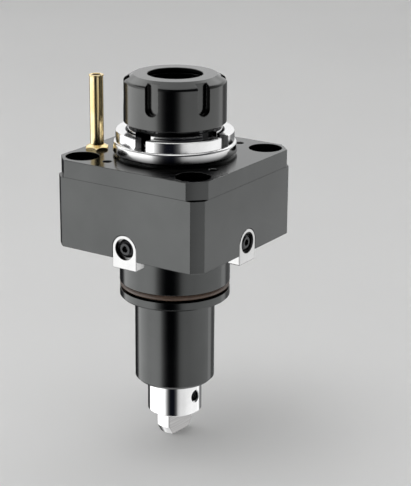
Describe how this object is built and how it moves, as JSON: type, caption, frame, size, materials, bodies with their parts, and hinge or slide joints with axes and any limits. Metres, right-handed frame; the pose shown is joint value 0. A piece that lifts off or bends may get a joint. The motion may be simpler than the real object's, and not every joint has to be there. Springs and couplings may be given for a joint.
{
  "type": "axial driven tool holder",
  "caption": "Axial driven tool holder: square bolt-on flange with pilot and side keys, bearing-mounted spindle with collet nut, drive tang below and a brass coolant tube.",
  "frame": {"origin": "centre of the flange's seating face, on the spindle axis", "axes": "+Z along the spindle axis towards the collet nut, -Z towards the drive tang; +X and +Y square to the flange's flat sides"},
  "size_m": [0.0852, 0.0852, 0.1861],
  "materials": {
    "black_steel": "ground steel with a satin gunmetal-black oxide, glossy on the ground faces",
    "black_nut": "turned and hardened steel, satin gunmetal-black oxide",
    "black_screw": "black oxide screw, satin, worn edges at the socket",
    "ground_steel": "bright ground steel",
    "bearing_steel": "honed bearing steel",
    "polished_steel": "polished hardened steel",
    "bright_chrome": "finely turned and polished, bright",
    "spring_steel": "blued spring steel",
    "brass": "drawn bright brass",
    "brown_rubber": "matt brown fluoro rubber",
    "black_rubber": "matt black nitrile rubber",
    "cage_resin": "machined fabric-based phenolic cage"
  },
  "bodies": {
    "holder": {"housing": "black_steel", "side_keys": "ground_steel", "key_screws": "black_screw", "pilot_o_ring": "brown_rubber", "coolant_inlet_seal": "black_rubber", "coolant_tube": "brass", "tube_fitting": "brass", "bearing_ring_nut": "bright_chrome", "front_shaft_seal": "black_rubber", "front_outer_ring_1": "bearing_steel", "front_outer_ring_2": "bearing_steel", "outer_spacer": "ground_steel", "rear_outer_ring_1": "bearing_steel", "rear_outer_ring_2": "bearing_steel", "wave_spring": "spring_steel", "bearing_circlip": "spring_steel", "rear_shaft_seal": "black_rubber"},
    "spindle": {"spindle": "ground_steel", "front_inner_ring_1": "bearing_steel", "front_inner_ring_2": "bearing_steel", "inner_spacer": "ground_steel", "spindle_locknut": "black_screw", "locknut_screws": "black_screw", "rear_inner_ring_1": "bearing_steel", "rear_inner_ring_2": "bearing_steel", "drive_coupling": "polished_steel", "coupling_key": "ground_steel", "coupling_set_screw": "black_screw"},
    "front_cage_set_1": {"front_cage_1": "cage_resin", "front_balls_1": "bearing_steel"},
    "front_cage_set_2": {"front_cage_2": "cage_resin", "front_balls_2": "bearing_steel"},
    "rear_cage_set_1": {"rear_cage_1": "cage_resin", "rear_balls_1": "bearing_steel"},
    "rear_cage_set_2": {"rear_cage_2": "cage_resin", "rear_balls_2": "bearing_steel"},
    "extraction_ring": {"extraction_ring": "black_screw"},
    "collet_nut": {"collet_nut": "black_nut"}
  },
  "joints": [
    {"name": "spindle_spin", "type": "hinge", "parent": "holder", "child": "spindle", "pos_m": [0, 0, 0], "axis": [0, 0, 1], "continuous": true},
    {"name": "front_cage_spin_1", "type": "hinge", "parent": "holder", "child": "front_cage_set_1", "pos_m": [0, 0, 0.032], "axis": [0, 0, 1], "continuous": true},
    {"name": "front_cage_spin_2", "type": "hinge", "parent": "holder", "child": "front_cage_set_2", "pos_m": [0, 0, 0.016], "axis": [0, 0, 1], "continuous": true},
    {"name": "rear_cage_spin_1", "type": "hinge", "parent": "holder", "child": "rear_cage_set_1", "pos_m": [0, 0, -0.0564], "axis": [0, 0, 1], "continuous": true},
    {"name": "rear_cage_spin_2", "type": "hinge", "parent": "holder", "child": "rear_cage_set_2", "pos_m": [0, 0, -0.0634], "axis": [0, 0, 1], "continuous": true},
    {"name": "collet_nut_turn", "type": "hinge", "parent": "extraction_ring", "child": "collet_nut", "pos_m": [0, 0, 0.07], "axis": [0, 0, 1], "range_deg": [0, 3600]},
    {"name": "collet_nut_lift", "type": "slide", "parent": "spindle", "child": "extraction_ring", "axis": [0, 0, 1], "range_m": [0, 0.0151]}
  ],
  "couplings": [
    {"joint": "front_cage_spin_1", "follows": "spindle_spin", "ratio": 0.43889},
    {"joint": "front_cage_spin_2", "follows": "spindle_spin", "ratio": 0.43889},
    {"joint": "rear_cage_spin_1", "follows": "spindle_spin", "ratio": 0.41702},
    {"joint": "rear_cage_spin_2", "follows": "spindle_spin", "ratio": 0.41702},
    {"joint": "collet_nut_lift", "follows": "collet_nut_turn", "m_per_rad": 0.00023873}
  ]
}
